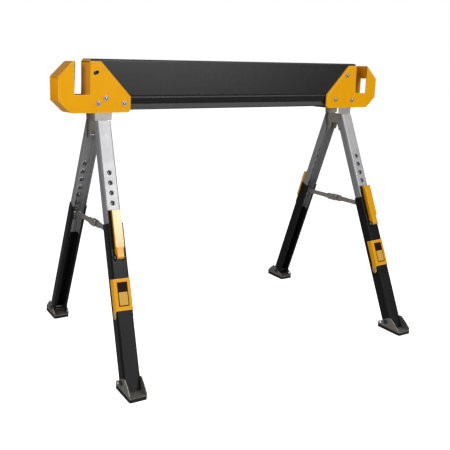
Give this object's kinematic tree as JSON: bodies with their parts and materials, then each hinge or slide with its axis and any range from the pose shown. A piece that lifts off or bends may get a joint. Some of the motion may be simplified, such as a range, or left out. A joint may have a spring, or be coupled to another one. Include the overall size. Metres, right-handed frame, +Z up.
{
  "type": "steel sawhorse",
  "caption": "Folding steel sawhorse with height-adjustable legs and a slot at each end for a board on edge.",
  "frame": {"origin": "on the ground under the middle of the beam", "axes": "+X along the beam to the right end, +Z up, -Y to the front, where the two support steps are"},
  "size_m": [1.047, 0.611, 0.7735],
  "materials": {
    "yellow_paint": "satin amber-yellow powder coat",
    "black_paint": "satin black powder coat",
    "zinc": "bright zinc plate",
    "dark_steel": "dark phosphated steel",
    "rubber": "matt"
  },
  "bodies": {
    "frame": {"beam": "black_paint", "left_bracket": "yellow_paint", "left_bracket_bolt_1": "zinc", "left_bracket_bolt_2": "zinc", "left_bracket_bolt_3": "zinc", "left_yoke": "zinc", "left_yoke_fold_pin": "zinc", "right_bracket": "yellow_paint", "right_bracket_bolt_1": "zinc", "right_bracket_bolt_2": "zinc", "right_bracket_bolt_3": "zinc", "right_yoke": "zinc", "right_yoke_fold_pin": "zinc"},
    "left_swivel": {"left_swivel": "zinc", "left_swivel_front_pin": "zinc", "left_swivel_back_pin": "zinc"},
    "left_front_leg": {"left_front_upper_leg": "zinc", "left_front_brace_pin": "zinc"},
    "left_front_lower": {"left_front_lower_leg": "black_paint", "left_front_foot": "dark_steel", "left_front_foot_pad": "rubber", "left_front_foot_bolt": "zinc", "left_front_lever_pin": "zinc", "left_front_step_pin": "zinc"},
    "left_front_lever": {"left_front_lever": "yellow_paint"},
    "left_front_brace": {"left_front_brace": "zinc"},
    "left_front_step": {"left_front_step": "yellow_paint"},
    "left_back_leg": {"left_back_upper_leg": "zinc", "left_back_brace_pin": "zinc"},
    "left_back_lower": {"left_back_lower_leg": "black_paint", "left_back_foot": "dark_steel", "left_back_foot_pad": "rubber", "left_back_foot_bolt": "zinc", "left_back_lever_pin": "zinc"},
    "left_back_lever": {"left_back_lever": "yellow_paint"},
    "left_back_brace": {"left_back_brace": "zinc"},
    "right_swivel": {"right_swivel": "zinc", "right_swivel_front_pin": "zinc", "right_swivel_back_pin": "zinc"},
    "right_front_leg": {"right_front_upper_leg": "zinc", "right_front_brace_pin": "zinc"},
    "right_front_lower": {"right_front_lower_leg": "black_paint", "right_front_foot": "dark_steel", "right_front_foot_pad": "rubber", "right_front_foot_bolt": "zinc", "right_front_lever_pin": "zinc", "right_front_step_pin": "zinc"},
    "right_front_lever": {"right_front_lever": "yellow_paint"},
    "right_front_brace": {"right_front_brace": "zinc"},
    "right_front_step": {"right_front_step": "yellow_paint"},
    "right_back_leg": {"right_back_upper_leg": "zinc", "right_back_brace_pin": "zinc"},
    "right_back_lower": {"right_back_lower_leg": "black_paint", "right_back_foot": "dark_steel", "right_back_foot_pad": "rubber", "right_back_foot_bolt": "zinc", "right_back_lever_pin": "zinc"},
    "right_back_lever": {"right_back_lever": "yellow_paint"},
    "right_back_brace": {"right_back_brace": "zinc"}
  },
  "joints": [
    {"name": "left_fold", "type": "hinge", "parent": "frame", "child": "left_swivel", "pos_m": [-0.407, 0, 0.6], "axis": [0, -1, 0], "range_deg": [0, 50]},
    {"name": "left_front_spread", "type": "hinge", "parent": "left_swivel", "child": "left_front_leg", "pos_m": [-0.40787, -0.037, 0.57802], "axis": [0.9992, 0, -0.0394], "range_deg": [0, 21]},
    {"name": "left_front_brace_fold", "type": "hinge", "parent": "left_front_leg", "child": "left_front_brace", "pos_m": [-0.41683, -0.12563, 0.35086], "axis": [0.9992, 0, -0.0394], "range_deg": [0, 51.31]},
    {"name": "left_front_height", "type": "slide", "parent": "left_front_leg", "child": "left_front_lower", "axis": [-0.0367, -0.3633, -0.931], "range_m": [-0.1016, 0.0762]},
    {"name": "left_front_latch", "type": "hinge", "parent": "left_front_lower", "child": "left_front_lever", "pos_m": [-0.41869, -0.1671, 0.30374], "axis": [0.9992, 0, -0.0394], "range_deg": [0, 25], "stiffness_Nm_per_rad": 0.15, "springref_deg": -34.38},
    {"name": "left_front_step_fold", "type": "hinge", "parent": "left_front_lower", "child": "left_front_step", "pos_m": [-0.42398, -0.20278, 0.16964], "axis": [0.9992, 0, -0.0394], "range_deg": [0, 90]},
    {"name": "left_back_spread", "type": "hinge", "parent": "left_swivel", "child": "left_back_leg", "pos_m": [-0.40787, 0.037, 0.57802], "axis": [-0.9992, 0, 0.0394], "range_deg": [0, 21]},
    {"name": "left_back_brace_fold", "type": "hinge", "parent": "left_back_leg", "child": "left_back_brace", "pos_m": [-0.41683, 0.12563, 0.35086], "axis": [-0.9992, 0, 0.0394], "range_deg": [0, 51.31]},
    {"name": "left_back_height", "type": "slide", "parent": "left_back_leg", "child": "left_back_lower", "axis": [-0.0367, 0.3633, -0.931], "range_m": [-0.1016, 0.0762]},
    {"name": "left_back_latch", "type": "hinge", "parent": "left_back_lower", "child": "left_back_lever", "pos_m": [-0.41869, 0.1671, 0.30374], "axis": [-0.9992, 0, 0.0394], "range_deg": [0, 25], "stiffness_Nm_per_rad": 0.15, "springref_deg": -34.38},
    {"name": "right_fold", "type": "hinge", "parent": "frame", "child": "right_swivel", "pos_m": [0.407, 0, 0.6], "axis": [0, 1, 0], "range_deg": [0, 90]},
    {"name": "right_front_spread", "type": "hinge", "parent": "right_swivel", "child": "right_front_leg", "pos_m": [0.40787, -0.037, 0.57802], "axis": [0.9992, 0, 0.0394], "range_deg": [0, 21]},
    {"name": "right_front_brace_fold", "type": "hinge", "parent": "right_front_leg", "child": "right_front_brace", "pos_m": [0.41683, -0.12563, 0.35086], "axis": [0.9992, 0, 0.0394], "range_deg": [0, 51.31]},
    {"name": "right_front_height", "type": "slide", "parent": "right_front_leg", "child": "right_front_lower", "axis": [0.0367, -0.3633, -0.931], "range_m": [-0.1016, 0.0762]},
    {"name": "right_front_latch", "type": "hinge", "parent": "right_front_lower", "child": "right_front_lever", "pos_m": [0.41869, -0.1671, 0.30374], "axis": [0.9992, 0, 0.0394], "range_deg": [0, 25], "stiffness_Nm_per_rad": 0.15, "springref_deg": -34.38},
    {"name": "right_front_step_fold", "type": "hinge", "parent": "right_front_lower", "child": "right_front_step", "pos_m": [0.42398, -0.20278, 0.16964], "axis": [0.9992, 0, 0.0394], "range_deg": [0, 90]},
    {"name": "right_back_spread", "type": "hinge", "parent": "right_swivel", "child": "right_back_leg", "pos_m": [0.40787, 0.037, 0.57802], "axis": [-0.9992, 0, -0.0394], "range_deg": [0, 21]},
    {"name": "right_back_brace_fold", "type": "hinge", "parent": "right_back_leg", "child": "right_back_brace", "pos_m": [0.41683, 0.12563, 0.35086], "axis": [-0.9992, 0, -0.0394], "range_deg": [0, 51.31]},
    {"name": "right_back_height", "type": "slide", "parent": "right_back_leg", "child": "right_back_lower", "axis": [0.0367, 0.3633, -0.931], "range_m": [-0.1016, 0.0762]},
    {"name": "right_back_latch", "type": "hinge", "parent": "right_back_lower", "child": "right_back_lever", "pos_m": [0.41869, 0.1671, 0.30374], "axis": [-0.9992, 0, -0.0394], "range_deg": [0, 25], "stiffness_Nm_per_rad": 0.15, "springref_deg": -34.38}
  ],
  "couplings": [
    {"joint": "left_back_spread", "follows": "left_front_spread", "ratio": 1},
    {"joint": "left_front_brace_fold", "follows": "left_front_spread", "ratio": 2.441},
    {"joint": "left_back_brace_fold", "follows": "left_front_spread", "ratio": 2.441},
    {"joint": "right_back_spread", "follows": "right_front_spread", "ratio": 1},
    {"joint": "right_front_brace_fold", "follows": "right_front_spread", "ratio": 2.441},
    {"joint": "right_back_brace_fold", "follows": "right_front_spread", "ratio": 2.441}
  ]
}
